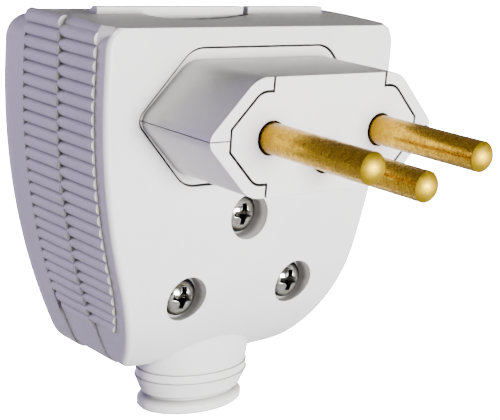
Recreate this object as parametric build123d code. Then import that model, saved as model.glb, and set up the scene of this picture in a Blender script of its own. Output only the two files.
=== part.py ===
"""Rewirable grounded plug: six-sided nose, three round pins and a two-part casing with a side cord outlet.

The origin is the centre of the nose's front face, on the line between the two outer pins.
X runs along that line, the pins point along -Y and the cord leaves along -Z. All sizes are millimetres.
"""
from build123d import *
import math
import os

os.makedirs("parts", exist_ok=True)

# Pins: the pattern that the matching socket sets
pin_radius = 2.0
pin_length = 19.0
pin_tip_height = 1.1
pin_pitch = 19.0
earth_drop = 3.0
pin_wall_end = 0.15
pin_neck_cut = 0.2
pin_seat_radius = 2.25
pin_seat_recess = 1.0
pin_shoulder_radius = 3.1
pin_shoulder_length = 1.7
terminal_radius = 2.9
terminal_reach = 11.0
wire_hole_radius = 1.6
wire_hole_setback = 4.2

# Nose
nose_half_width = 19.9
nose_half_height = 7.7
nose_shoulder_half = 12.4
nose_corner_radius = 4.2
nose_vertex_radius = 1.7
nose_wall = 1.6
nose_pocket_half = 16.2
nose_depth = 14.0
bulkhead_thickness = 2.5
seam_gap = 0.12

# Pin plate
plate_thickness = 3.0
plate_band_half = 9.9
plate_gap = 0.35

# Nose flange and its opening in the casing
opening_half_width = 20.4
opening_half_height = 9.4
opening_shoulder_half = 11.9
flange_gap = 0.3
flange_recess = 0.2
retainer_margin = 0.7
retainer_thickness = 2.0

# Casing outline, seen along the pins
case_half_width = 25.1
case_top = 12.4
top_skim = 0.05
top_fall = 0.5
case_height = 50.52
side_run = 7.4
foot_half_width = 14.65
foot_rise = 1.0
front_corner_radius = 3.4
grip_corner_radius = 1.5
rear_corner_radius = 3.0
foot_corner_radius = 4.0
case_wall = 2.0

# Casing depth
front_shell_depth = 10.6
rear_shell_depth = 16.9
front_band = 2.5
grip_ramp_length = 2.2
grip_ramp_drop = 0.8
front_edge_radius = 0.8
back_edge_radius = 5.0
chin_rise = 17.1
chin_radius = 20.0

# Grip ribs
rib_pitch = 1.7
rib_depth = 0.45
rib_root_lift = 0.05
rib_top_margin = 1.3
rear_rib_lift = 0.95
rib_foot_margin = 6.0
rear_rib_length = 8.3
rear_rib_rounding = 8.0
rear_rib_rise = 4.1
rear_step = 0.25

# Bar along the top of the rear shell, and the finger scoop facing it
bar_half_length = 20.0
bar_height = 1.25
bar_depth = 1.8
bar_notch_width = 0.9
bar_notch_offset = 5.2
rear_top_sink = 0.35
rear_top_drop = 1.05
bar_pocket_depth = 1.5
scoop_left = 12.6
scoop_middle = 8.0
scoop_right = 6.5
scoop_reach = 4.8
scoop_depth = 1.3

# Casing screws
upper_screw_drop = 5.1
lower_screw_rise = 12.7
lower_screw_half_span = 9.7
screw_radius = 1.5
screw_length = 16.0
screw_head_radius = 2.75
screw_head_height = 1.9
screw_head_sink = 1.1
screw_head_clearance = 0.55
screw_hole_clearance = 0.15
head_edge_share = 0.45
post_wall = 1.0
boss_radius = 3.6
recess_width = 0.8
recess_span = 3.2
recess_depth = 1.1

# Terminal screws
terminal_screw_radius = 1.5
terminal_screw_length = 2.2
terminal_head_radius = 2.4
terminal_head_height = 1.6
slot_width = 0.7
slot_depth = 0.7

# Posts of the rear shell that press the nose flange forward
press_post_radius = 2.0
press_post_half_span = 15.2
press_post_height = 3.5

# Cord outlet: an oval collar with a round bore
bore_radius = 4.0
bore_rise = 4.7
bore_boss_wall = 1.9
bore_relief = 1.0
collar_flatness = 0.64
neck_top_half = 9.9
neck_end_half = 9.1
ring_step = 0.25
ring_half = 9.5
ring_end_half = 8.4
groove_half = 7.6
lip_half = 8.8
neck_root = 5.1
neck_length = 1.1
ring_slope = 1.3
ring_length = 2.3
groove_length = 0.6
lip_slope = 0.7
lip_length = 1.3
lip_edge = 0.35

# Cord clamp
clamp_rise = 2.4
clamp_half_span = 7.4
clamp_half_width = 2.1
clamp_thickness = 2.6
clamp_lift = 4.4
clamp_groove = 0.9
clamp_post_radius = 2.2
clamp_screw_radius = 1.2
clamp_screw_length = 8.0
clamp_head_radius = 2.0
clamp_head_height = 1.4

# How far a cut runs past the face that it opens
overrun = 1.0

# Planes that several pieces share
front_face = nose_depth
front_inside = front_face + case_wall
parting = front_face + front_shell_depth
back_face = parting + rear_shell_depth
back_inside = back_face - case_wall
retainer_back = front_inside + retainer_thickness
bulkhead_front = plate_thickness + pin_shoulder_length
terminal_end = nose_depth + terminal_reach
clamp_seat = parting + clamp_lift
counterbore_radius = screw_head_radius + screw_head_clearance
post_radius = counterbore_radius + post_wall
head_seat = front_face + screw_head_sink + screw_head_height
grip_start = front_face + front_band
rear_top = case_top - rear_top_sink
scoop_floor = case_top - scoop_depth

# Heights that several pieces share, from the top of the casing down to the end of the collar
side_start = case_top - side_run
case_bottom = case_top - case_height
foot_height = case_bottom + foot_rise
rear_rib_foot = case_bottom + rear_rib_rise
chin_start = case_bottom + chin_rise
bore_top = case_bottom + bore_rise
clamp_height = bore_top + clamp_rise
upper_screw_height = -opening_half_height - upper_screw_drop
lower_screw_height = case_bottom + lower_screw_rise
neck_top = case_bottom + neck_root
neck_end = case_bottom - neck_length
ring_shoulder = neck_end - ring_slope
ring_end = ring_shoulder - ring_length
lip_start = ring_end - groove_length
lip_rim = lip_start - lip_slope
collar_end = lip_rim - lip_length

screw_places = [(0, upper_screw_height), (-lower_screw_half_span, lower_screw_height),
                (lower_screw_half_span, lower_screw_height)]
pin_places = [(-pin_pitch / 2, 0), (pin_pitch / 2, 0), (0, -earth_drop)]


def slab(face, y_start, y_end):
    """Extrudes a face drawn in X and Z from one depth to another."""
    return extrude(Plane.XZ.offset(-y_start) * face, amount=y_start - y_end)


def rod(x, z, radius, y_start, y_end):
    """Round bar along Y."""
    return slab(Pos(x, z) * Circle(radius), y_start, y_end)


def hexagon(half_width, half_height, shoulder_half):
    """Six-sided face with pointed sides, rounded at its flat top and bottom."""
    points = [(half_width, 0), (shoulder_half, half_height), (-shoulder_half, half_height),
              (-half_width, 0), (-shoulder_half, -half_height), (shoulder_half, -half_height)]
    face = make_face(Polyline(*points, close=True))
    flats = face.vertices().filter_by(lambda v: abs(v.Y) > half_height / 2)
    face = fillet(flats, nose_corner_radius)
    tips = face.vertices().filter_by(lambda v: abs(v.Y) < nose_vertex_radius / 4)
    return fillet(tips, nose_vertex_radius)


def side_edges(grow):
    """Right side of the casing outline: a straight run and a long arc that draws in to the foot."""
    half = case_half_width + grow
    straight = Line((half, case_top), (half, side_start))
    sweep_in = TangentArc((half, side_start), (foot_half_width + grow, foot_height), tangent=(0, -1))
    return straight, sweep_in


def casing_outline(grow, top, corner):
    """Casing seen along the pins: flat top, curved sides and a slightly bowed bottom."""
    half = case_half_width + grow
    foot = foot_half_width + grow
    sweep_in = side_edges(grow)[1]
    bottom = ThreePointArc((foot, foot_height), (0, case_bottom - grow), (-foot, foot_height))
    upper = Polyline((-half, side_start), (-half, top), (half, top), (half, side_start))
    face = make_face(Curve() + [upper, sweep_in, bottom, mirror(sweep_in, Plane.YZ)])
    shoulders = face.vertices().sort_by(Axis.Y)[-2:]
    face = fillet(shoulders, corner)
    feet = face.vertices().filter_by(lambda v: abs(v.Y - foot_height) < 0.01)
    return fillet(feet, foot_corner_radius)


def chin_region(inset):
    """Everything behind the front face and the chin that curves back under it."""
    radius = chin_radius - inset
    axis_y = front_face + chin_radius
    start = (front_face + inset, chin_start)
    middle = (axis_y - radius * math.cos(math.pi / 4), chin_start - radius * math.sin(math.pi / 4))
    end = (axis_y, chin_start - radius)
    edge = ThreePointArc(start, middle, end)
    far = back_face + chin_radius
    rest = Polyline(end, (far, end[1]), (far, case_top * 2), (start[0], case_top * 2), start)
    width = 4 * case_half_width
    return extrude(Plane.YZ * make_face(Curve() + [edge, rest]), amount=width / 2, both=True)


def rib_comb(grow, top_margin, region):
    """Half-round grip ribs that stand proud of both sides, kept to a region seen from the side."""
    path = Wire(side_edges(grow))
    count = int((path.length - top_margin - rib_foot_margin) / rib_pitch)
    rib_radius = (rib_depth ** 2 + (rib_pitch / 2) ** 2) / (2 * rib_depth)
    ribs = []
    for index in range(count):
        along = (top_margin + (index + 0.5) * rib_pitch) / path.length
        inward = Vector((path % along).Y, -(path % along).X)
        centre = path @ along + inward * (rib_radius - rib_depth - rib_root_lift)
        ribs.append(Pos(centre) * Circle(rib_radius))
    comb = slab(Sketch() + ribs, front_face, back_face) & region
    return comb + mirror(comb, Plane.YZ)


def rear_rib_region():
    """Side view of the rear rib set: a block whose lower rear corner is rounded off."""
    height = 2 * case_top - rear_rib_foot
    middle = Pos(parting + rear_rib_length / 2, rear_rib_foot + height / 2)
    face = middle * Rectangle(rear_rib_length, height)
    corner = face.vertices().sort_by(Axis.Y)[:2].sort_by(Axis.X)[-1]
    face = fillet(corner, rear_rib_rounding)
    return extrude(Plane.YZ * face, amount=2 * case_half_width, both=True)


def oval(height, half):
    """Level cut through the collar."""
    return Pos(0, parting, height) * Ellipse(half, half * collar_flatness)


def collar():
    """Oval neck, stepped ring, groove and flared end lip around the cord, without the bore."""
    lip = extrude(oval(collar_end, lip_half), amount=lip_length)
    body = chamfer(lip.edges().sort_by(Axis.Z)[0], lip_edge)
    stretches = [(neck_top, neck_top_half, neck_end, neck_end_half),
                 (neck_end, neck_end_half + ring_step, ring_shoulder, ring_half - ring_step),
                 (ring_shoulder, ring_half, ring_end, ring_end_half),
                 (ring_end, groove_half, lip_start, groove_half),
                 (lip_start, groove_half, lip_rim, lip_half)]
    for upper, upper_half, lower, lower_half in stretches:
        body = body + loft([oval(upper, upper_half), oval(lower, lower_half)], ruled=True)
    return body


def upright(radius, z_start, z_end):
    """Round bar along the cord's axis."""
    return Pos(0, parting, z_start) * Cylinder(radius, z_end - z_start,
                                               align=(Align.CENTER, Align.CENTER, Align.MIN))


def cord_way():
    """Round bore down the collar, and the wider room above it."""
    return (upright(bore_radius, collar_end, bore_top)
            + upright(bore_radius + bore_relief, bore_top, clamp_height))


def half_space(y_start, y_end):
    """Block that keeps one side of the parting plane."""
    return slab(Pos(0, (case_top + collar_end) / 2) * Rectangle(4 * case_half_width, 4 * case_half_width),
                y_start, y_end)


def finger_scoop():
    """Shallow dip in the top of the front shell, open towards the bar and steeper at its left end."""
    deepest = (-scoop_middle, parting - scoop_reach)
    left = TangentArc(deepest, (-scoop_left, parting), tangent=(-1, 0))
    right = TangentArc(deepest, (scoop_right, parting), tangent=(1, 0))
    back = Line((-scoop_left, parting), (scoop_right, parting))
    face = make_face(Curve() + [left, back, right])
    return extrude(Pos(0, 0, scoop_floor) * face, amount=2 * scoop_depth)


def grip_shoulders():
    """Tight upper corners of the front grip, ramped down to the rounder corners of the front face."""
    face = casing_outline(0, case_top, grip_corner_radius)
    ramp_angle = math.degrees(math.atan2(grip_ramp_drop, grip_ramp_length))
    ramp = extrude(Plane.XZ.offset(-grip_start) * face, amount=grip_ramp_length, taper=ramp_angle)
    above = Pos(0, side_start + case_top) * Rectangle(4 * case_half_width, 2 * case_top)
    return (slab(face, grip_start, parting) + ramp) & slab(above, front_face, parting)


def top_wedge():
    """Thin wedge that is left off above the front shell, so that its top falls away towards the front."""
    slope = (top_fall - top_skim) / front_shell_depth
    tip = (front_face - overrun, case_top - top_fall - slope * overrun)
    heel = (parting + overrun, case_top - top_skim + slope * overrun)
    face = Polyline(tip, heel, (heel[0], 2 * case_top), (tip[0], 2 * case_top), close=True)
    return extrude(Plane.YZ * make_face(face), amount=2 * case_half_width, both=True)


def bar_pocket():
    """Dark slot under the bar, behind the finger scoop."""
    middle = Pos((scoop_right - scoop_left) / 2, (scoop_floor + rear_top) / 2)
    face = middle * Rectangle(scoop_left + scoop_right, rear_top - scoop_floor)
    return slab(face, parting - overrun, parting + bar_pocket_depth)


def front_shell():
    """Front half of the casing."""
    shell = slab(casing_outline(0, case_top, front_corner_radius), front_face, parting) & chin_region(0)
    rim = shell.edges().filter_by(lambda e: e.center().Y < parting - front_edge_radius)
    seam = rim.filter_by(lambda e: abs(e.center().Z - chin_start) < 0.01 and abs(e.center().X) < 0.01)
    shell = fillet(rim - seam, front_edge_radius)
    ribs = rib_comb(0, rib_top_margin, chin_region(front_band)) & half_space(front_face, parting)
    shell = shell + grip_shoulders() - top_wedge() + ribs
    shell = shell + (collar() & half_space(front_face, parting))
    inside = offset(casing_outline(0, case_top, front_corner_radius), -case_wall)
    cavity = slab(inside, front_inside, parting) & chin_region(case_wall)
    posts = [rod(x, z, post_radius, front_face, parting) & chin_region(0) for x, z in screw_places]
    clamp_posts = [rod(x, clamp_height, clamp_post_radius, front_face, clamp_seat)
                   & chin_region(case_wall / 2)
                   for x in (-clamp_half_span, clamp_half_span)]
    sill = upright(bore_radius + bore_boss_wall, case_bottom, bore_top)
    shell = (shell - cavity) + posts + clamp_posts + (sill & half_space(front_face, parting))
    opening = hexagon(opening_half_width, opening_half_height, opening_shoulder_half)
    shell = shell - slab(opening, front_face - overrun, front_inside + overrun) - cord_way()
    for x, z in screw_places:
        shell = shell - rod(x, z, counterbore_radius, front_face - overrun, head_seat)
        shell = shell - rod(x, z, screw_radius + screw_hole_clearance, front_face, parting + overrun)
    for x in (-clamp_half_span, clamp_half_span):
        shell = shell - rod(x, clamp_height, clamp_screw_radius, clamp_seat - clamp_screw_length,
                            clamp_seat + overrun)
    return shell - finger_scoop()


def rear_shell():
    """Rear half of the casing."""
    rib_end = parting + rear_rib_length
    grip = slab(casing_outline(rear_step, rear_top, grip_corner_radius), parting, rib_end)
    cap_grow = rear_step + rib_depth
    cap = slab(casing_outline(cap_grow, rear_top - rear_top_drop, rear_corner_radius), rib_end, back_face)
    back_rim = cap.faces().sort_by(Axis.Y)[-1].edges()
    ribs = rib_comb(rear_step, rib_top_margin - rear_rib_lift, rear_rib_region())
    shell = grip + fillet(back_rim, back_edge_radius) + ribs
    bar = slab(Pos(0, rear_top) * Rectangle(2 * bar_half_length, 2 * bar_height),
               parting, parting + bar_depth)
    bar = chamfer(bar.edges().filter_by(Axis.X).group_by(Axis.Z)[-1].sort_by(Axis.Y)[-1], bar_height / 2)
    notch = slab(Pos(bar_notch_offset, rear_top + bar_height) * Rectangle(bar_notch_width, 2 * bar_height),
                 parting - overrun, parting + bar_depth + overrun)
    shell = shell - bar_pocket() + (bar - notch) + (collar() & half_space(parting, back_face))
    inside = offset(casing_outline(0, case_top - rear_top_drop, front_corner_radius), -case_wall)
    cavity = slab(inside, parting, back_inside)
    bosses = [rod(x, z, boss_radius, parting, back_inside) for x, z in screw_places]
    presses = [rod(x, z, press_post_radius, retainer_back, back_inside)
               for x in (-press_post_half_span, press_post_half_span)
               for z in (-press_post_height, press_post_height)]
    sill = upright(bore_radius + bore_boss_wall, case_bottom, bore_top)
    shell = (shell - cavity) + bosses + presses + (sill & half_space(parting, back_face))
    for x, z in screw_places:
        shell = shell - rod(x, z, screw_radius, parting - overrun, head_seat + screw_length + overrun)
    return shell - cord_way()


def nose_pocket(gap):
    """Room inside the nose's wall, less a gap all round, with upright ends in place of the points."""
    room = offset(hexagon(nose_half_width, nose_half_height, nose_shoulder_half), -nose_wall - gap)
    return room & Rectangle(2 * (nose_pocket_half - gap), 4 * nose_half_height)


def nose_body():
    """Both halves of the nose in one: sleeve, flange, inner retainer and the bulkhead behind the pins."""
    outer = hexagon(nose_half_width, nose_half_height, nose_shoulder_half)
    inner = nose_pocket(0)
    flange = offset(hexagon(opening_half_width, opening_half_height, opening_shoulder_half), -flange_gap)
    retainer = offset(hexagon(opening_half_width, opening_half_height, opening_shoulder_half), retainer_margin)
    body = (slab(outer, 0, front_face + flange_recess)
            + slab(flange, front_face + flange_recess, front_inside))
    body = body + slab(retainer, front_inside, retainer_back)
    body = body - slab(inner, 0, bulkhead_front)
    body = body - slab(inner, bulkhead_front + bulkhead_thickness, retainer_back)
    scoop = pin_shoulder_radius + seam_gap
    body = body - rod(0, -earth_drop, scoop, plate_thickness, bulkhead_front)
    for x, z in pin_places:
        body = body - rod(x, z, terminal_radius + seam_gap / 2, bulkhead_front - overrun, retainer_back)
    slot = Pos(0, -earth_drop / 2) * Rectangle(2 * terminal_radius + seam_gap, earth_drop)
    body = body - slab(slot, bulkhead_front - overrun, retainer_back)
    band = Rectangle(2 * plate_band_half, 3 * nose_half_height)
    return body - slab(band, 0, plate_thickness)


def nose_half(side):
    """Upper or lower half of the nose, cut just clear of the seam."""
    height = 2 * opening_half_height
    middle = side * (height + seam_gap) / 2
    return nose_body() & slab(Pos(0, middle) * Rectangle(4 * nose_half_width, height), -overrun, parting)


def pin_plate():
    """Front plate of the nose with the three pin holes."""
    band = Rectangle(2 * (plate_band_half - plate_gap), 2 * nose_half_height)
    plate = slab(nose_pocket(plate_gap) + band, 0, plate_thickness)
    for x, z in pin_places:
        plate = plate - rod(x, z, pin_seat_radius, -overrun, plate_thickness + overrun)
    return plate


def dome_arc(radius, rim, crown):
    """Half profile of a dome: from its rim to its crown on the Y axis, level at the crown."""
    rise = crown - rim
    sphere = (radius ** 2 + rise ** 2) / (2 * rise)
    half_swing = math.asin(radius / abs(sphere)) / 2
    middle = (abs(sphere) * math.sin(half_swing), crown - sphere * (1 - math.cos(half_swing)))
    return ThreePointArc((radius, rim), middle, (0, crown))


def pin(x, z):
    """Turned pin with a domed tip, an undercut at the plate, a shoulder behind it and a wire terminal."""
    tip = -pin_length
    neck = pin_radius - pin_neck_cut
    dome = dome_arc(pin_radius, tip + pin_tip_height, tip)
    rest = Polyline((pin_radius, tip + pin_tip_height), (pin_radius, pin_wall_end), (neck, pin_wall_end),
                    (neck, pin_seat_recess), (pin_seat_radius, pin_seat_recess),
                    (pin_seat_radius, plate_thickness),
                    (pin_shoulder_radius, plate_thickness), (pin_shoulder_radius, bulkhead_front),
                    (terminal_radius, bulkhead_front), (terminal_radius, terminal_end),
                    (0, terminal_end), (0, tip))
    body = revolve(make_face(Curve() + [dome, rest]), Axis.Y)
    wire_hole = Pos(0, terminal_end - wire_hole_setback, 0) * Cylinder(wire_hole_radius, 4 * terminal_radius)
    screw_hole = rod(0, 0, terminal_screw_radius, terminal_end - wire_hole_setback, terminal_end + overrun)
    return Pos(x, 0, z) * (body - wire_hole - screw_hole)


def domed_head(radius, height):
    """Half profile of a low domed screw head that seats at zero and rises along +Y."""
    edge = height * head_edge_share
    sides = Polyline((0, height), (0, 0), (radius, 0), (radius, edge))
    return Curve() + [sides, dome_arc(radius, edge, height)]


def screw(head_radius, head_height, shank_radius, shank_length):
    """Screw along Y: the head's seat lies at zero, the head rises along +Y and the shank runs to -Y."""
    head = revolve(make_face(domed_head(head_radius, head_height)), Axis.Y)
    point = shank_radius * 0.6
    shank = make_face(Polyline((0, 0), (shank_radius, 0), (shank_radius, point - shank_length),
                               (shank_radius * 0.4, -shank_length), (0, -shank_length), close=True))
    return head + revolve(shank, Axis.Y)


def casing_screw(x, z):
    """Cross-recess screw that goes in from the front."""
    body = screw(screw_head_radius, screw_head_height, screw_radius, screw_length)
    arm = Box(recess_span, 2 * recess_depth, recess_width)
    cross = arm + Rot(0, 90, 0) * arm
    body = body - Pos(0, screw_head_height, 0) * cross
    return Pos(x, head_seat, z) * Rot(0, 0, 180) * body


def terminal_screw(x, z):
    """Slotted screw in the rear end of a pin."""
    body = screw(terminal_head_radius, terminal_head_height, terminal_screw_radius, terminal_screw_length)
    slot = Pos(0, terminal_head_height, 0) * Box(4 * terminal_head_radius, 2 * slot_depth, slot_width)
    return Pos(x, terminal_end, z) * (body - slot)


def cord_clamp():
    """Saddle that bridges the two clamp posts, hollowed on the cord's side."""
    strap = SlotCenterToCenter(2 * clamp_half_span, 2 * clamp_half_width)
    body = slab(Pos(0, clamp_height) * strap, clamp_seat, clamp_seat + clamp_thickness)
    hollow_radius = (bore_radius ** 2 + clamp_groove ** 2) / (2 * clamp_groove)
    hollow = (Pos(0, clamp_seat + clamp_groove - hollow_radius, clamp_height)
              * Cylinder(hollow_radius, 4 * clamp_half_width))
    body = body - hollow
    for x in (-clamp_half_span, clamp_half_span):
        body = body - rod(x, clamp_height, clamp_screw_radius + screw_hole_clearance,
                          clamp_seat - overrun, back_face)
    return body


def clamp_screw(x):
    """Slotted screw that holds one end of the saddle."""
    body = screw(clamp_head_radius, clamp_head_height, clamp_screw_radius, clamp_screw_length)
    slot = Pos(0, clamp_head_height, 0) * Box(4 * clamp_head_radius, 2 * slot_depth, slot_width)
    return Pos(x, clamp_seat + clamp_thickness, clamp_height) * (body - slot)


nodes = {
    "front_shell": front_shell(),
    "rear_shell": rear_shell(),
    "nose_upper_half": nose_half(1),
    "nose_lower_half": nose_half(-1),
    "pin_plate": pin_plate(),
    "cord_clamp": cord_clamp(),
    "clamp_screw_left": clamp_screw(-clamp_half_span),
    "clamp_screw_right": clamp_screw(clamp_half_span),
}
for name, place in zip(("line", "neutral", "earth"), pin_places):
    nodes[name + "_pin"] = pin(*place)
    nodes[name + "_terminal_screw"] = terminal_screw(*place)
for name, place in zip(("upper", "lower_left", "lower_right"), screw_places):
    nodes["casing_screw_" + name] = casing_screw(*place)

for name, solid in nodes.items():
    export_step(solid, "parts/" + name + ".step")
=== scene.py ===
"""Studio picture of the grounded plug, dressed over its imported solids.

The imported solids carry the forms. This script gives each solid its finish, builds finer casing
screws in place of the plain ones, and sets up the floor, the lights and the camera.
Lengths are metres and angles are degrees.
"""
import logging
import math
from dataclasses import dataclass
from enum import Enum

import bmesh
import bpy
from mathutils import Matrix, Vector


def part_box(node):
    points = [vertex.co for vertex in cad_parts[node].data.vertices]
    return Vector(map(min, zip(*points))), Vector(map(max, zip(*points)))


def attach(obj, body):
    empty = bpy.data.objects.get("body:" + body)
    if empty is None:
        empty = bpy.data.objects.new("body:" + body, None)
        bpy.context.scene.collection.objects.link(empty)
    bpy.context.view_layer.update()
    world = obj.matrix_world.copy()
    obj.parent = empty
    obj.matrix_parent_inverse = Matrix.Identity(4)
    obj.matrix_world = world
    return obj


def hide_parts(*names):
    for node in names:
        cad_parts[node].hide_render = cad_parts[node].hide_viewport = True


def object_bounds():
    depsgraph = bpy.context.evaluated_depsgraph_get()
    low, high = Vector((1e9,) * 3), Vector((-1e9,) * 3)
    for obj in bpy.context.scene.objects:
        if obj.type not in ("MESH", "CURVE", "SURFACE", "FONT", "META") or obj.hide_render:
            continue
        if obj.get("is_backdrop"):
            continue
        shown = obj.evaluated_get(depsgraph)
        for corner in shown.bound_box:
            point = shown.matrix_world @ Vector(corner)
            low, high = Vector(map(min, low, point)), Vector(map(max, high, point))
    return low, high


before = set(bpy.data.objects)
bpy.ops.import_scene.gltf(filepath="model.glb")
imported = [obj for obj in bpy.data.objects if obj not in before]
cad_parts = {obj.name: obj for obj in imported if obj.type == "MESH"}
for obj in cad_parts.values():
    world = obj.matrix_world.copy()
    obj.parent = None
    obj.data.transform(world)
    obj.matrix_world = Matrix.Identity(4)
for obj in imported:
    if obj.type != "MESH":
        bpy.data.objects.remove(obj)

LOG = logging.getLogger("grounded_plug")
BODY = "root"
Triple = tuple[float, float, float]
Colour = tuple[float, float, float, float]
WHITE: Colour = (1.0, 1.0, 1.0, 1.0)


class Slot(Enum):
    """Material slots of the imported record."""

    CASING = "casing_plastic"
    NOSE = "nose_plastic"
    BRASS = "pin_brass"
    ZINC = "plated_steel"
    CLAMP = "clamp_plastic"


class Effect(Enum):
    """Surface effects, each built once as a node group."""

    GRAIN = "moulded_grain"
    MOTTLE = "surface_mottle"
    EDGE = "edge_rub"
    # Painted shade in crevices and hollows, from ambient occlusion.
    CREVICE = "crevice_grime"
    TURNING = "turning_lines"
    TIP = "tip_rub"


class Kind(Enum):
    """Socket types of the effect groups."""

    VALUE = "NodeSocketFloat"
    VECTOR = "NodeSocketVector"


class NodeBench:
    """Adds and joins nodes in one node tree."""

    def __init__(self, tree: bpy.types.NodeTree) -> None:
        """Keeps the tree that the nodes go into."""
        self.tree = tree

    def add(self, kind: str, values: dict | None = None, **settings: object) -> bpy.types.Node:
        """Adds one node.

        Args:
            kind: Type name of the node.
            values: Constant values by input socket name or index.
            settings: Properties of the node itself.

        Returns:
            The new node.
        """
        node = self.tree.nodes.new(kind)
        for name, value in settings.items():
            setattr(node, name, value)
        for socket, value in (values or {}).items():
            node.inputs[socket].default_value = value
        return node

    def join(self, source: bpy.types.NodeSocket, target: bpy.types.NodeSocket) -> None:
        """Links an output to an input."""
        self.tree.links.new(source, target)

    def feed(self, source: bpy.types.NodeSocket | float | Colour, target: bpy.types.NodeSocket) -> None:
        """Links an output to an input, or sets the input to a number or colour.

        Args:
            source: The output, number or colour.
            target: The input.
        """
        if isinstance(source, bpy.types.NodeSocket):
            self.join(source, target)
        else:
            target.default_value = source

    def sum_up(self, operation: str, first: bpy.types.NodeSocket | float,
               second: bpy.types.NodeSocket | float) -> bpy.types.NodeSocket:
        """Adds a math node.

        Args:
            operation: Name of the sum.
            first: Left side, a socket or a number.
            second: Right side, a socket or a number.

        Returns:
            The result socket.
        """
        node = self.add("ShaderNodeMath", operation=operation)
        self.feed(first, node.inputs[0])
        self.feed(second, node.inputs[1])
        return node.outputs[0]

    def spread(self, mask: bpy.types.NodeSocket, low: float, high: float) -> bpy.types.NodeSocket:
        """Maps a mask from 0..1 to a range.

        Args:
            mask: The mask.
            low: Value where the mask is 0.
            high: Value where the mask is 1.

        Returns:
            The mapped socket.
        """
        node = self.add("ShaderNodeMapRange", {"To Min": low, "To Max": high})
        self.join(mask, node.inputs["Value"])
        return node.outputs["Result"]

    def ease(self, source: bpy.types.NodeSocket, low: bpy.types.NodeSocket | float,
             high: bpy.types.NodeSocket | float, top: float = 1.0) -> bpy.types.NodeSocket:
        """Turns a value into a mask that rises smoothly between two limits.

        Args:
            source: The value.
            low: Limit below which the mask is 0.
            high: Limit above which the mask has its top value.
            top: Top value of the mask.

        Returns:
            The mask socket.
        """
        node = self.add("ShaderNodeMapRange", {"To Max": top}, interpolation_type="SMOOTHSTEP")
        self.join(source, node.inputs["Value"])
        self.feed(low, node.inputs["From Min"])
        self.feed(high, node.inputs["From Max"])
        return node.outputs["Result"]

    def blend(self, mask: bpy.types.NodeSocket, first: bpy.types.NodeSocket | Colour,
              second: bpy.types.NodeSocket | Colour) -> bpy.types.NodeSocket:
        """Mixes two colours.

        Args:
            mask: Share of the second colour.
            first: A socket or a colour.
            second: A socket or a colour.

        Returns:
            The mixed colour socket.
        """
        node = self.add("ShaderNodeMix", data_type="RGBA")
        sides = [socket for socket in node.inputs if socket.type == "RGBA"]
        self.join(mask, node.inputs["Factor"])
        self.feed(first, sides[0])
        self.feed(second, sides[1])
        return next(socket for socket in node.outputs if socket.type == "RGBA")

    def pick(self, mask: bpy.types.NodeSocket, first: bpy.types.NodeSocket,
             second: bpy.types.NodeSocket) -> bpy.types.NodeSocket:
        """Mixes two shaders.

        Args:
            mask: Share of the second shader.
            first: Output of the first shader.
            second: Output of the second shader.

        Returns:
            The mixed shader socket.
        """
        node = self.add("ShaderNodeMixShader")
        for index, source in enumerate((mask, first, second)):
            self.join(source, node.inputs[index])
        return node.outputs[0]


class FinishBench(NodeBench):
    """Bench of a fresh material that has one surface shader."""

    def __init__(self, slot: Slot, constants: dict[str, float]) -> None:
        """Starts the material.

        Args:
            slot: Slot that the material is named for.
            constants: Values of the shader that are the same all over the surface.
        """
        self.material = bpy.data.materials.new(slot.value + "_finish")
        self.material.use_nodes = True
        super().__init__(self.material.node_tree)
        self.tree.nodes.clear()
        self.shader = self.add("ShaderNodeBsdfPrincipled", constants)
        out = self.add("ShaderNodeOutputMaterial")
        self.join(self.shader.outputs["BSDF"], out.inputs["Surface"])

    def relief(self, height: bpy.types.NodeSocket, normal: bpy.types.NodeSocket, strength: float,
               depth: float) -> None:
        """Gives the surface a fine relief.

        Args:
            height: Height of the relief.
            normal: Normal that the relief starts from.
            strength: Share of the relief that shows.
            depth: Depth of the relief.
        """
        bump = self.add("ShaderNodeBump", {"Strength": strength, "Distance": depth})
        self.join(height, bump.inputs["Height"])
        self.join(normal, bump.inputs["Normal"])
        self.join(bump.outputs["Normal"], self.shader.inputs["Normal"])


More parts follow.
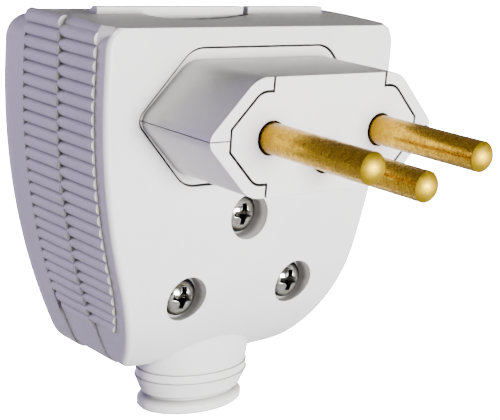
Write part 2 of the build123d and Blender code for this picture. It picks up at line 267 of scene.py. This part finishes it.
class EffectLibrary:
    """Builds each effect once, as a shader node group."""

    def __init__(self) -> None:
        """Builds every group."""
        self.groups: dict[Effect, bpy.types.NodeTree] = {}
        self._grain()
        self._mottle()
        self._edge()
        self._crevice()
        self._turning()
        self._tip()

    def place(self, bench: NodeBench, effect: Effect, **values: float) -> bpy.types.Node:
        """Places a group in a material.

        Args:
            bench: Node bench of the material.
            effect: Which group.
            values: Input values by socket name.

        Returns:
            The group node.
        """
        return bench.add("ShaderNodeGroup", values, node_tree=self.groups[effect])

    def _open(self, effect: Effect, inputs: dict[str, float],
              outputs: dict[str, Kind]) -> tuple[NodeBench, bpy.types.Node, bpy.types.Node]:
        """Starts a group.

        Args:
            effect: Which group.
            inputs: Number inputs with their default values.
            outputs: Output names with their types.

        Returns:
            The bench, the group's input node and its output node.
        """
        tree = bpy.data.node_groups.new(effect.value, "ShaderNodeTree")
        for name, value in inputs.items():
            socket = tree.interface.new_socket(name=name, in_out="INPUT", socket_type=Kind.VALUE.value)
            socket.default_value = value
        for name, kind in outputs.items():
            tree.interface.new_socket(name=name, in_out="OUTPUT", socket_type=kind.value)
        self.groups[effect] = tree
        bench = NodeBench(tree)
        return bench, bench.add("NodeGroupInput"), bench.add("NodeGroupOutput")

    def _grain(self) -> None:
        """Fine spark-eroded skin of a moulding: a height and a gloss mask."""
        coarse_scale = 0.16
        coarse_weight = 0.6
        bench, start, end = self._open(Effect.GRAIN, {"Scale": 4000.0},
                                       {"Height": Kind.VALUE, "Gloss": Kind.VALUE})
        place = bench.add("ShaderNodeTexCoord")
        fine = bench.add("ShaderNodeTexNoise", {"Detail": 3.0, "Roughness": 0.6})
        coarse = bench.add("ShaderNodeTexNoise", {"Detail": 2.0, "Roughness": 0.5})
        for node, share in ((fine, 1.0), (coarse, coarse_scale)):
            bench.join(place.outputs["Object"], node.inputs["Vector"])
            bench.join(bench.sum_up("MULTIPLY", start.outputs["Scale"], share), node.inputs["Scale"])
        rough = bench.sum_up("MULTIPLY", coarse.outputs[0], coarse_weight)
        bench.join(bench.sum_up("ADD", fine.outputs[0], rough), end.inputs["Height"])
        bench.join(coarse.outputs[0], end.inputs["Gloss"])

    def _mottle(self) -> None:
        """Slow blotches over a surface: a mask."""
        bench, start, end = self._open(Effect.MOTTLE, {"Scale": 120.0, "Low": 0.35, "High": 0.65},
                                       {"Mask": Kind.VALUE})
        place = bench.add("ShaderNodeTexCoord")
        cloud = bench.add("ShaderNodeTexNoise", {"Detail": 5.0, "Roughness": 0.62, "Distortion": 0.4})
        bench.join(place.outputs["Object"], cloud.inputs["Vector"])
        bench.join(start.outputs["Scale"], cloud.inputs["Scale"])
        mask = bench.ease(cloud.outputs[0], start.outputs["Low"], start.outputs["High"])
        bench.join(mask, end.inputs["Mask"])

    def _edge(self) -> None:
        """Softened corners: a rounded normal and a mask of where the rounding turns it."""
        bench, start, end = self._open(Effect.EDGE, {"Radius": 0.0002, "Gain": 3.0},
                                       {"Normal": Kind.VECTOR, "Mask": Kind.VALUE})
        corner = bench.add("ShaderNodeBevel", samples=6)
        bench.join(start.outputs["Radius"], corner.inputs["Radius"])
        true = bench.add("ShaderNodeNewGeometry")
        along = bench.add("ShaderNodeVectorMath", operation="DOT_PRODUCT")
        bench.join(corner.outputs["Normal"], along.inputs[0])
        bench.join(true.outputs["Normal"], along.inputs[1])
        turned = bench.sum_up("SUBTRACT", 1.0, along.outputs["Value"])
        limit = bench.add("ShaderNodeClamp")
        bench.join(bench.sum_up("MULTIPLY", turned, start.outputs["Gain"]), limit.inputs["Value"])
        bench.join(corner.outputs["Normal"], end.inputs["Normal"])
        bench.join(limit.outputs["Result"], end.inputs["Mask"])

    def _crevice(self) -> None:
        """Painted shade where two surfaces nearly meet, found by ambient occlusion: a mask."""
        bench, start, end = self._open(Effect.CREVICE, {"Reach": 0.0006, "Low": 0.5, "High": 0.75},
                                       {"Mask": Kind.VALUE})
        shade = bench.add("ShaderNodeAmbientOcclusion", samples=8)
        bench.join(start.outputs["Reach"], shade.inputs["Distance"])
        closed = bench.sum_up("SUBTRACT", 1.0, shade.outputs["AO"])
        mask = bench.ease(closed, start.outputs["Low"], start.outputs["High"])
        bench.join(mask, end.inputs["Mask"])

    def _turning(self) -> None:
        """Fine rings that a cutting tool leaves round a part turned about the Y axis: a height."""
        round_share = 0.06
        bench, start, end = self._open(Effect.TURNING, {"Scale": 2500.0, "Wander": 0.4},
                                       {"Height": Kind.VALUE})
        place = bench.add("ShaderNodeTexCoord")
        squeeze = bench.add("ShaderNodeMapping", {"Scale": (round_share, 1.0, round_share)})
        bench.join(place.outputs["Object"], squeeze.inputs["Vector"])
        rings = bench.add("ShaderNodeTexNoise", {"Detail": 4.0, "Roughness": 0.7})
        bench.join(squeeze.outputs[0], rings.inputs["Vector"])
        bench.join(start.outputs["Scale"], rings.inputs["Scale"])
        bench.join(start.outputs["Wander"], rings.inputs["Distortion"])
        bench.join(rings.outputs[0], end.inputs["Height"])

    def _tip(self) -> None:
        """End of a part that points along -Y, rubbed by use: a mask."""
        fade = 0.00008
        bench, start, end = self._open(Effect.TIP, {"Start": 0.0179}, {"Mask": Kind.VALUE})
        place = bench.add("ShaderNodeTexCoord")
        split = bench.add("ShaderNodeSeparateXYZ")
        bench.join(place.outputs["Object"], split.inputs[0])
        ahead = bench.sum_up("MULTIPLY", split.outputs["Y"], -1.0)
        full = bench.sum_up("ADD", start.outputs["Start"], fade)
        bench.join(bench.ease(ahead, start.outputs["Start"], full), end.inputs["Mask"])


@dataclass(frozen=True)
class Mottle:
    """Blotches of one finish: their scale, and the limits between which they fade in."""

    scale: float
    low: float
    high: float

    def mask(self, bench: NodeBench, effects: EffectLibrary) -> bpy.types.NodeSocket:
        """Places the blotches and gives their mask."""
        group = effects.place(bench, Effect.MOTTLE, Scale=self.scale, Low=self.low, High=self.high)
        return group.outputs["Mask"]


@dataclass(frozen=True)
class Crevice:
    """Painted shade of one finish: how far it reaches, and how closed a place is where it sets in and is
    full.
    """

    reach: float
    low: float
    high: float

    def mask(self, bench: NodeBench, effects: EffectLibrary) -> bpy.types.NodeSocket:
        """Places the shade and gives its mask."""
        group = effects.place(bench, Effect.CREVICE, Reach=self.reach, Low=self.low, High=self.high)
        return group.outputs["Mask"]


@dataclass(frozen=True)
class MouldedPlastic:
    """Satin thermoplastic as it leaves the mould, with painted shade in its hollows and gaps."""

    slot: Slot
    colour: Colour
    shade: Colour
    # Colour of the painted shade in hollows and gaps.
    painted_shade_colour: Colour
    refraction: float = 1.48
    cloud: Mottle = Mottle(85.0, 0.32, 0.70)
    gap: Crevice = Crevice(0.0007, 0.44, 0.68)
    hollow: Crevice = Crevice(0.0015, 0.10, 0.45)
    hollow_share: float = 0.66
    grain_scale: float = 4200.0
    grain_strength: float = 0.08
    grain_depth: float = 0.00002
    gloss_low: float = 0.36
    gloss_high: float = 0.50
    edge_radius: float = 0.00022

    def build(self, effects: EffectLibrary) -> bpy.types.Material:
        """Builds the material.

        Args:
            effects: Effect groups.

        Returns:
            The finished material.
        """
        bench = FinishBench(self.slot, {"Metallic": 0.0, "IOR": self.refraction})
        grain = effects.place(bench, Effect.GRAIN, Scale=self.grain_scale)
        edge = effects.place(bench, Effect.EDGE, Radius=self.edge_radius)
        body = bench.blend(self.cloud.mask(bench, effects), self.colour, self.shade)
        # Painted shade: the colour darkens where ambient occlusion finds hollows and the gaps between parts.
        dimmed = bench.sum_up("MULTIPLY", self.hollow.mask(bench, effects), self.hollow_share)
        body = bench.blend(dimmed, body, self.painted_shade_colour)
        body = bench.blend(self.gap.mask(bench, effects), body, self.painted_shade_colour)
        bench.join(body, bench.shader.inputs["Base Color"])
        gloss = bench.spread(grain.outputs["Gloss"], self.gloss_low, self.gloss_high)
        bench.join(gloss, bench.shader.inputs["Roughness"])
        bench.relief(grain.outputs["Height"], edge.outputs["Normal"], self.grain_strength, self.grain_depth)
        return bench.material


@dataclass(frozen=True)
class TurnedBrass:
    """Bare brass, turned, slightly tarnished and rubbed by use, with painted shade at its foot and in its
    tightest gaps.
    """

    slot: Slot
    bright: Colour
    dull: Colour
    stain: Colour
    rubbed: Colour
    # Colour at the pin's foot next to the nose plate: some tarnish and painted shade.
    foot_tarnish_and_shade: Colour
    # Near black painted shade in the tightest gaps.
    painted_gap_shade: Colour
    cloud: Mottle = Mottle(1300.0, 0.38, 0.66)
    spots: Mottle = Mottle(2600.0, 0.52, 0.70)
    spot_share: float = 0.6
    foot: Crevice = Crevice(0.006, 0.04, 0.40)
    gap: Crevice = Crevice(0.0006, 0.40, 0.70)
    ring_scale: float = 2600.0
    ring_wander: float = 0.5
    ring_strength: float = 0.25
    ring_depth: float = 0.00003
    tip_start: float = 0.0179
    tip_dulling: float = 0.26
    gloss_low: float = 0.24
    gloss_high: float = 0.36
    edge_radius: float = 0.00005
    edge_gain: float = 3.0

    def build(self, effects: EffectLibrary) -> bpy.types.Material:
        """Builds the material.

        Args:
            effects: Effect groups.

        Returns:
            The finished material.
        """
        bench = FinishBench(self.slot, {"Metallic": 1.0})
        cloud = self.cloud.mask(bench, effects)
        rings = effects.place(bench, Effect.TURNING, Scale=self.ring_scale, Wander=self.ring_wander)
        edge = effects.place(bench, Effect.EDGE, Radius=self.edge_radius, Gain=self.edge_gain)
        tip = effects.place(bench, Effect.TIP, Start=self.tip_start)
        spots = bench.sum_up("MULTIPLY", self.spots.mask(bench, effects), self.spot_share)
        tint = bench.blend(cloud, self.bright, self.dull)
        tint = bench.blend(spots, tint, self.stain)
        tint = bench.blend(edge.outputs["Mask"], tint, self.bright)
        # Painted shade with some tarnish: darkens the pin's foot next to the nose plate.
        tint = bench.blend(self.foot.mask(bench, effects), tint, self.foot_tarnish_and_shade)
        tint = bench.blend(tip.outputs["Mask"], tint, self.rubbed)
        # Painted shade: near black in the tightest gaps.
        tint = bench.blend(self.gap.mask(bench, effects), tint, self.painted_gap_shade)
        bench.join(tint, bench.shader.inputs["Base Color"])
        gloss = bench.spread(cloud, self.gloss_low, self.gloss_high)
        worn = bench.spread(tip.outputs["Mask"], 0.0, self.tip_dulling)
        bench.join(bench.sum_up("ADD", gloss, worn), bench.shader.inputs["Roughness"])
        bench.relief(rings.outputs["Height"], edge.outputs["Normal"], self.ring_strength, self.ring_depth)
        return bench.material


@dataclass(frozen=True)
class ZincPlate:
    """Bright zinc on steel, with a faint yellow cast and painted shade in its corners."""

    slot: Slot
    bright: Colour
    cast: Colour
    # Colour of the painted shade round the head's rim and in the cross recess.
    dark: Colour
    cloud: Mottle = Mottle(700.0, 0.42, 0.62)
    gap: Crevice = Crevice(0.0016, 0.12, 0.52)
    ring_scale: float = 1800.0
    ring_wander: float = 0.8
    ring_strength: float = 0.2
    ring_depth: float = 0.00002
    gloss_low: float = 0.09
    gloss_high: float = 0.18
    edge_radius: float = 0.00010

    def build(self, effects: EffectLibrary) -> bpy.types.Material:
        """Builds the material.

        Args:
            effects: Effect groups.

        Returns:
            The finished material.
        """
        bench = FinishBench(self.slot, {"Metallic": 1.0})
        cloud = self.cloud.mask(bench, effects)
        rings = effects.place(bench, Effect.TURNING, Scale=self.ring_scale, Wander=self.ring_wander)
        edge = effects.place(bench, Effect.EDGE, Radius=self.edge_radius)
        tint = bench.blend(cloud, self.bright, self.cast)
        # Painted shade: darkens the head's rim, the cross recess and other closed-in corners.
        tint = bench.blend(self.gap.mask(bench, effects), tint, self.dark)
        bench.join(tint, bench.shader.inputs["Base Color"])
        gloss = bench.spread(cloud, self.gloss_low, self.gloss_high)
        bench.join(gloss, bench.shader.inputs["Roughness"])
        bench.relief(rings.outputs["Height"], edge.outputs["Normal"], self.ring_strength, self.ring_depth)
        return bench.material


class FinishRack:
    """Every finish of the plug, by material slot."""

    finishes: tuple[MouldedPlastic | TurnedBrass | ZincPlate, ...] = (
        MouldedPlastic(
            Slot.CASING,
            colour=(0.770, 0.757, 0.747, 1.0),
            shade=(0.735, 0.722, 0.716, 1.0),
            painted_shade_colour=(0.06, 0.055, 0.05, 1.0),
            gap=Crevice(0.0007, 0.62, 0.92),
        ),
        MouldedPlastic(
            Slot.NOSE,
            colour=(0.840, 0.820, 0.810, 1.0),
            shade=(0.805, 0.785, 0.775, 1.0),
            painted_shade_colour=(0.05, 0.045, 0.04, 1.0),
            hollow_share=0.2,
        ),
        MouldedPlastic(
            Slot.CLAMP,
            colour=(0.66, 0.65, 0.64, 1.0),
            shade=(0.62, 0.61, 0.60, 1.0),
            painted_shade_colour=(0.28, 0.27, 0.26, 1.0),
        ),
        TurnedBrass(
            Slot.BRASS,
            bright=(0.58, 0.345, 0.020, 1.0),
            dull=(0.42, 0.235, 0.012, 1.0),
            stain=(0.20, 0.095, 0.006, 1.0),
            rubbed=(0.58, 0.385, 0.010, 1.0),
            foot_tarnish_and_shade=(0.30, 0.160, 0.002, 1.0),
            painted_gap_shade=(0.03, 0.02, 0.01, 1.0),
        ),
        ZincPlate(
            Slot.ZINC,
            bright=(0.86, 0.86, 0.83, 1.0),
            cast=(0.70, 0.69, 0.56, 1.0),
            dark=(0.07, 0.065, 0.055, 1.0),
        ),
    )

    def __init__(self) -> None:
        """Builds the effects and then the finishes."""
        effects = EffectLibrary()
        self.materials = {finish.slot: finish.build(effects) for finish in self.finishes}

    def coat(self, piece: bpy.types.Object, slot: Slot) -> None:
        """Puts one finish on a whole piece.

        Args:
            piece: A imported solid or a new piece.
            slot: Slot of the finish.
        """
        piece.data.materials.clear()
        piece.data.materials.append(self.materials[slot])


class SubAssembly:
    """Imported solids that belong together."""

    def finishes(self) -> dict[str, Slot]:
        """Names of the solids, each with the slot of its finish."""
        raise NotImplementedError

    def dress(self, rack: FinishRack) -> list[bpy.types.Object]:
        """Gives every solid its finish.

        Args:
            rack: The finishes.

        Returns:
            The dressed solids.
        """
        pieces = []
        for name, slot in self.finishes().items():
            rack.coat(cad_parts[name], slot)
            pieces.append(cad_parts[name])
        return pieces


@dataclass
class Casing(SubAssembly):
    """Ribbed front and rear shells with the oval collar."""

    shells: tuple[str, ...] = ("front_shell", "rear_shell")

    def finishes(self) -> dict[str, Slot]:
        """Both shells in casing plastic."""
        return dict.fromkeys(self.shells, Slot.CASING)


@dataclass
class Nose(SubAssembly):
    """Six-sided nose in two halves with its pin plate."""

    mouldings: tuple[str, ...] = ("nose_upper_half", "nose_lower_half", "pin_plate")

    def finishes(self) -> dict[str, Slot]:
        """All three mouldings in nose plastic."""
        return dict.fromkeys(self.mouldings, Slot.NOSE)


@dataclass
class ContactPins(SubAssembly):
    """Three turned pins with the screws of their wire terminals."""

    pins: tuple[str, ...] = ("line_pin", "neutral_pin", "earth_pin")
    screws: tuple[str, ...] = ("line_terminal_screw", "neutral_terminal_screw", "earth_terminal_screw")

    def finishes(self) -> dict[str, Slot]:
        """Pins in brass, screws in zinc."""
        return dict.fromkeys(self.pins, Slot.BRASS) | dict.fromkeys(self.screws, Slot.ZINC)


@dataclass
class CordGrip(SubAssembly):
    """Saddle and two screws inside the casing, just above the collar."""

    saddle: str = "cord_clamp"
    screws: tuple[str, ...] = ("clamp_screw_left", "clamp_screw_right")

    def finishes(self) -> dict[str, Slot]:
        """Saddle in clamp plastic, screws in zinc."""
        return {self.saddle: Slot.CLAMP} | dict.fromkeys(self.screws, Slot.ZINC)


@dataclass
class CasingScrews:
    """Cross-recess screws that hold the two shells together.

    Shares, hub, flare and taper are parts of the size that they belong to.
    """

    turns: tuple[tuple[str, float], ...] = (
        ("casing_screw_upper", 4.0),
        ("casing_screw_lower_left", 8.0),
        ("casing_screw_lower_right", 6.0),
    )
    head_radius: float = 0.00275
    head_height: float = 0.0019
    rim_height: float = 0.00075
    edge_radius_share: float = 0.985
    edge_height_share: float = 0.25
    seat_radius_share: float = 0.9
    shank_radius: float = 0.0015
    shank_length: float = 0.016
    point_radius_share: float = 0.3
    point_start_share: float = 0.93
    recess_span: float = 0.0039
    recess_width: float = 0.0010
    recess_depth: float = 0.0014
    recess_hub: float = 1.7
    recess_flare: float = 1.12
    recess_taper: float = 0.45
    cutter_overrun_share: float = 0.4
    round_steps: int = 72
    dome_steps: int = 14
    weld_distance: float = 1e-7
    sharp_angle: float = 32.0

    def build(self, rack: FinishRack) -> list[bpy.types.Object]:
        """Builds the three screws, each at its own turn.

        Args:
            rack: The finishes.

        Returns:
            The new screws.
        """
        pieces = []
        for node, turn in self.turns:
            low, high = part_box(node)
            seat = Vector(((low.x + high.x) / 2, high.y - self.shank_length, (low.z + high.z) / 2))
            piece = self._cut(node + "_fine")
            piece.data.transform(Matrix.Translation(seat) @ Matrix.Rotation(math.radians(turn), 4, "Y"))
            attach(piece, BODY)
            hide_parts(node)
            rack.coat(piece, Slot.ZINC)
            pieces.append(piece)
        return pieces

    def _profile(self) -> list[tuple[float, float]]:
        """Half profile of the turned blank.

        Returns:
            Radius and depth of each point, from the crown of the head to the point of the shank.
        """
        rise = self.head_height - self.rim_height
        sphere = (self.head_radius ** 2 + rise ** 2) / (2 * rise)
        swing = math.asin(self.head_radius / sphere)
        angles = [swing * step / self.dome_steps for step in range(self.dome_steps + 1)]
        dome = [(sphere * math.sin(angle), sphere * (1 - math.cos(angle)) - self.head_height)
                for angle in angles]
        seat = [(self.head_radius * self.edge_radius_share, -self.rim_height * self.edge_height_share),
                (self.head_radius * self.seat_radius_share, 0.0), (self.shank_radius, 0.0)]
        point = [(self.shank_radius, self.shank_length * self.point_start_share),
                 (self.shank_radius * self.point_radius_share, self.shank_length), (0.0, self.shank_length)]
        return dome + seat + point

    def _blank(self, name: str) -> bpy.types.Object:
        """Turned screw without its recess.

        Args:
            name: Name of the new object.

        Returns:
            The blank, its seat at the origin and its head towards -Y.
        """
        work = bmesh.new()
        points = [work.verts.new((radius, depth, 0.0)) for radius, depth in self._profile()]
        edges = [work.edges.new(pair) for pair in zip(points, points[1:])]
        bmesh.ops.spin(work, geom=points + edges, axis=(0, 1, 0), cent=(0, 0, 0), steps=self.round_steps,
                       angle=math.tau)
        bmesh.ops.remove_doubles(work, verts=work.verts, dist=self.weld_distance)
        return new_object(name, work)

    def _cutter(self) -> bpy.types.Object:
        """Tapered cross that stands in the head's crown.

        Returns:
            The cutter, in the place of the recess.
        """
        half, wing = self.recess_span / 2, self.recess_width / 2
        hub = wing * self.recess_hub
        quarter = [(wing, half), (wing, hub), (hub, wing), (half, wing)]
        outline = []
        for _ in range(4):
            outline += quarter
            quarter = [(z, -x) for x, z in quarter]
        top = -self.head_height - self.recess_depth * self.cutter_overrun_share
        floor = -self.head_height + self.recess_depth
        work = bmesh.new()
        upper, lower = ([work.verts.new((x * share, depth, z * share)) for x, z in outline]
                        for depth, share in ((top, self.recess_flare), (floor, self.recess_taper)))
        for index in range(len(outline)):
            after = (index + 1) % len(outline)
            work.faces.new((upper[index], upper[after], lower[after], lower[index]))
        work.faces.new(upper)
        work.faces.new(lower)
        return new_object("recess_cutter", work)

    def _cut(self, name: str) -> bpy.types.Object:
        """Blank with the cross cut into its head.

        Args:
            name: Name of the finished screw.

        Returns:
            The screw, shaded smooth between its corners.
        """
        blank, cutter = self._blank(name), self._cutter()
        recess = blank.modifiers.new("recess", "BOOLEAN")
        recess.operation = "DIFFERENCE"
        recess.solver = "EXACT"
        recess.object = cutter
        graph = bpy.context.evaluated_depsgraph_get()
        mesh = bpy.data.meshes.new_from_object(blank.evaluated_get(graph))
        blank.modifiers.clear()
        plain = blank.data
        blank.data = mesh
        bpy.data.meshes.remove(plain)
        bpy.data.objects.remove(cutter)
        mesh.name = name
        mesh.shade_smooth()
        mesh.set_sharp_from_angle(angle=math.radians(self.sharp_angle))
        return blank


@dataclass(frozen=True)
class Lamp:
    """One soft square lamp, aimed at the plug. Power in watts."""

    name: str
    azimuth: float
    elevation: float
    distance: float
    size: float
    power: float
    colour: Triple
    mirrored: bool = True

    def build(self, centre: Vector) -> None:
        """Adds the lamp.

        Args:
            centre: Point that the lamp faces.
        """
        light = bpy.data.lights.new(self.name, "AREA")
        light.shape = "SQUARE"
        light.size = self.size
        light.energy = self.power
        light.color = self.colour
        away = direction(self.azimuth, self.elevation)
        holder = bpy.data.objects.new(self.name, light)
        holder.location = centre + away * self.distance
        holder.rotation_euler = away.to_track_quat("Z", "Y").to_euler()
        holder.visible_glossy = self.mirrored
        bpy.context.scene.collection.objects.link(holder)


@dataclass
class Studio:
    """Pale floor, dim surrounds and soft lamps around the box between two corners."""

    low: Vector
    high: Vector
    floor_drop: float = 0.055
    floor_half: float = 6.0
    floor_glow: float = 40.0
    floor_sheen: float = 0.55
    floor_colour: Colour = (0.26, 0.235, 0.33, 1.0)
    floor_roughness: float = 0.9
    surround_colour: Colour = (1.0, 0.94, 0.90, 1.0)
    surround_strength: float = 0.05
    sweep_strength: float = 0.24
    sweep_edge: float = 0.6
    lamps: tuple[Lamp, ...] = (
        Lamp("key", 2.5, 3.0, 0.75, 0.20, 18.6, (1.0, 0.995, 0.98)),
        Lamp("side", 46.0, -16.0, 0.8, 0.8, 5.0, (1.0, 0.995, 0.97)),
        Lamp("fill", -143.0, -3.0, 0.9, 0.6, 15.4, (0.73, 0.63, 1.0), mirrored=False),
        Lamp("back", 142.0, -3.0, 0.9, 0.6, 11.0, (1.0, 0.99, 0.95), mirrored=False),
    )

    def build(self) -> None:
        """Builds floor, surrounds and lamps."""
        self._floor()
        self._surrounds()
        for lamp in self.lamps:
            lamp.build((self.low + self.high) / 2)

    def _floor(self) -> None:
        """Large pale plane below the plug."""
        half, height = self.floor_half, self.low.z - self.floor_drop
        corners = [(-half, -half, height), (half, -half, height), (half, half, height), (-half, half, height)]
        mesh = bpy.data.meshes.new("floor")
        mesh.from_pydata(corners, [], [(0, 1, 2, 3)])
        mesh.materials.append(self._paper())
        floor = bpy.data.objects.new("floor", mesh)
        bpy.context.scene.collection.objects.link(floor)
        floor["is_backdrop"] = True

    def _paper(self) -> bpy.types.Material:
        """Floor paper: burnt out to white from above, pale where shiny pieces mirror it, clear from below.

        Returns:
            The paper's material.
        """
        material = bpy.data.materials.new("floor_paper")
        material.use_nodes = True
        bench = NodeBench(material.node_tree)
        out = bench.tree.nodes["Material Output"]
        paper = bench.tree.nodes["Principled BSDF"]
        paper.inputs["Base Color"].default_value = self.floor_colour
        paper.inputs["Roughness"].default_value = self.floor_roughness
        ray = bench.add("ShaderNodeLightPath").outputs
        seen = bench.sum_up("MULTIPLY", ray["Is Camera Ray"], self.floor_glow)
        mirrored = bench.sum_up("MULTIPLY", ray["Is Glossy Ray"], self.floor_sheen)
        glow = bench.add("ShaderNodeEmission", {"Color": WHITE})
        bench.join(bench.sum_up("ADD", seen, mirrored), glow.inputs["Strength"])
        glowing = bench.sum_up("MAXIMUM", ray["Is Camera Ray"], ray["Is Glossy Ray"])
        above = bench.pick(glowing, paper.outputs["BSDF"], glow.outputs["Emission"])
        side = bench.add("ShaderNodeNewGeometry")
        below = bench.sum_up("MULTIPLY", ray["Is Camera Ray"], side.outputs["Backfacing"])
        clear = bench.add("ShaderNodeBsdfTransparent")
        bench.join(bench.pick(below, above, clear.outputs["BSDF"]), out.inputs["Surface"])
        return material

    def _surrounds(self) -> None:
        """Dim even light, white to the camera, with a pale sweep behind that shiny pieces mirror."""
        world = bpy.data.worlds.new("surrounds")
        world.use_nodes = True
        bench = NodeBench(world.node_tree)
        back = bench.tree.nodes["Background"]
        back.inputs["Color"].default_value = self.surround_colour
        place = bench.add("ShaderNodeTexCoord")
        split = bench.add("ShaderNodeSeparateXYZ")
        bench.join(place.outputs["Generated"], split.inputs[0])
        sweep = bench.ease(split.outputs["Y"], 0.0, self.sweep_edge, self.sweep_strength)
        ray = bench.add("ShaderNodeLightPath").outputs
        mirrored = bench.sum_up("MULTIPLY", sweep, ray["Is Glossy Ray"])
        seen = bench.sum_up("MULTIPLY", ray["Is Camera Ray"], self.floor_glow)
        even = bench.sum_up("ADD", mirrored, self.surround_strength)
        bench.join(bench.sum_up("ADD", even, seen), back.inputs["Strength"])
        bpy.context.scene.world = world


@dataclass(frozen=True)
class PhotoCamera:
    """Camera at the photograph's place, solved from the pins.

    The focal length and the image width are pixels, and the sensor is millimetres.
    """

    focal_pixels: float = 1356.45
    image_width: float = 500.0
    sensor_width: float = 36.0
    azimuth: float = -40.71
    elevation: float = 13.87
    roll: float = 4.63
    distance: float = 0.18027
    target: Triple = (-0.00521, 0.0080, -0.0116)
    nearest: float = 0.005
    farthest: float = 50.0

    def build(self) -> None:
        """Builds the camera and makes it the scene's own."""
        back = direction(self.azimuth, self.elevation)
        level = math.radians(self.azimuth)
        right = Vector((math.cos(level), math.sin(level), 0.0))
        up = back.cross(right)
        roll = math.radians(self.roll)
        across = math.cos(roll) * right + math.sin(roll) * up
        above = -math.sin(roll) * right + math.cos(roll) * up
        data = bpy.data.cameras.new("photo_camera")
        data.sensor_fit = "HORIZONTAL"
        data.sensor_width = self.sensor_width
        data.lens = self.sensor_width * self.focal_pixels / self.image_width
        data.clip_start = self.nearest
        data.clip_end = self.farthest
        camera = bpy.data.objects.new("photo_camera", data)
        turn = Matrix((across, above, back)).transposed().to_4x4()
        camera.matrix_world = Matrix.Translation(Vector(self.target) + back * self.distance) @ turn
        bpy.context.scene.collection.objects.link(camera)
        bpy.context.scene.camera = camera


def new_object(name: str, work: bmesh.types.BMesh) -> bpy.types.Object:
    """Turns a worked mesh into an object of the scene.

    Args:
        name: Name of the object and its mesh.
        work: The worked mesh, which is freed.

    Returns:
        The new object, with its faces turned outwards.
    """
    bmesh.ops.recalc_face_normals(work, faces=work.faces)
    mesh = bpy.data.meshes.new(name)
    work.to_mesh(mesh)
    work.free()
    item = bpy.data.objects.new(name, mesh)
    bpy.context.scene.collection.objects.link(item)
    return item


def direction(azimuth: float, elevation: float) -> Vector:
    """Points away from the plug.

    Args:
        azimuth: Angle from -Y towards +X, in degrees.
        elevation: Angle above level, in degrees.

    Returns:
        The direction, one unit long.
    """
    side, lift = math.radians(azimuth), math.radians(elevation)
    return Vector((math.sin(side) * math.cos(lift), -math.cos(side) * math.cos(lift), math.sin(lift)))


def main() -> None:
    """Dresses the plug, piece by piece, and sets up the studio."""
    logging.basicConfig(level=logging.INFO, format="%(name)s: %(message)s")
    solid_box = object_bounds()
    rack = FinishRack()
    pieces: list[bpy.types.Object] = []
    for part in (Casing(), Nose(), ContactPins(), CordGrip()):
        pieces += part.dress(rack)
    pieces += CasingScrews().build(rack)
    for piece in pieces:
        LOG.info("dressed %s with %d faces", piece.name, len(piece.data.polygons))
    Studio(*solid_box).build()
    PhotoCamera().build()


if __name__ == "__main__":
    main()
